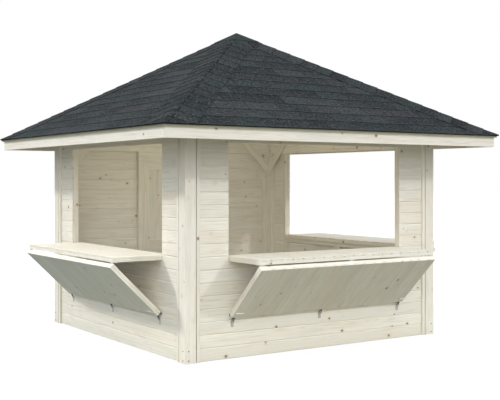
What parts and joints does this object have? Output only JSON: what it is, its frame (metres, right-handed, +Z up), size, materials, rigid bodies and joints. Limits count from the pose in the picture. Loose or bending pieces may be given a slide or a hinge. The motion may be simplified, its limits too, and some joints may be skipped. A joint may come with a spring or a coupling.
{
  "type": "wooden market stall",
  "caption": "Square wooden market stall with boarded walls, wide serving openings, folding counters and flaps, a back door and a shingled pyramid roof.",
  "frame": {"origin": "middle of the square plan at ground level", "axes": "+Z up, -Y the front wall with its serving counter, +Y the back wall with the door, +X to the right seen from the front"},
  "size_m": [3.8626, 3.8333, 3.1033],
  "materials": {
    "spruce": "matte",
    "roof_shingle": "matte",
    "galvanised_steel": "satin"
  },
  "bodies": {
    "stall": {"corner_posts": "spruce", "front_lower_wall": "spruce", "left_lower_wall": "spruce", "right_lower_wall": "spruce", "front_side_walls": "spruce", "left_side_walls": "spruce", "right_side_walls": "spruce", "back_wall_left": "spruce", "back_wall_right": "spruce", "wall_studs": "spruce", "sill_rails": "spruce", "cover_strips": "spruce", "lintels": "spruce", "front_plate": "spruce", "back_plate": "spruce", "left_plate": "spruce", "right_plate": "spruce", "knee_braces": "spruce", "front_counter": "spruce", "left_counter": "spruce", "right_counter": "spruce", "counter_frames": "spruce", "front_flap": "spruce", "left_flap": "spruce", "right_flap": "spruce", "flap_frames": "spruce", "flap_hinges": "galvanised_steel", "flap_handles": "galvanised_steel", "door_jambs": "spruce", "door_head": "spruce", "door_threshold": "spruce", "door_pintles": "galvanised_steel", "hip_rafters": "spruce", "common_rafters": "spruce", "peak_block": "spruce", "front_fascia": "spruce", "back_fascia": "spruce", "left_fascia": "spruce", "right_fascia": "spruce", "front_deck": "spruce", "back_deck": "spruce", "left_deck": "spruce", "right_deck": "spruce", "front_covering": "roof_shingle", "back_covering": "roof_shingle", "left_covering": "roof_shingle", "right_covering": "roof_shingle"},
    "door": {"door_leaf": "spruce", "door_panels": "spruce", "door_straps": "galvanised_steel", "door_levers": "galvanised_steel"}
  },
  "joints": [
    {"name": "back_door", "type": "hinge", "parent": "stall", "child": "door", "pos_m": [-0.398, 1.44, 0.9], "axis": [0, 0, 1], "range_deg": [0, 110]}
  ]
}
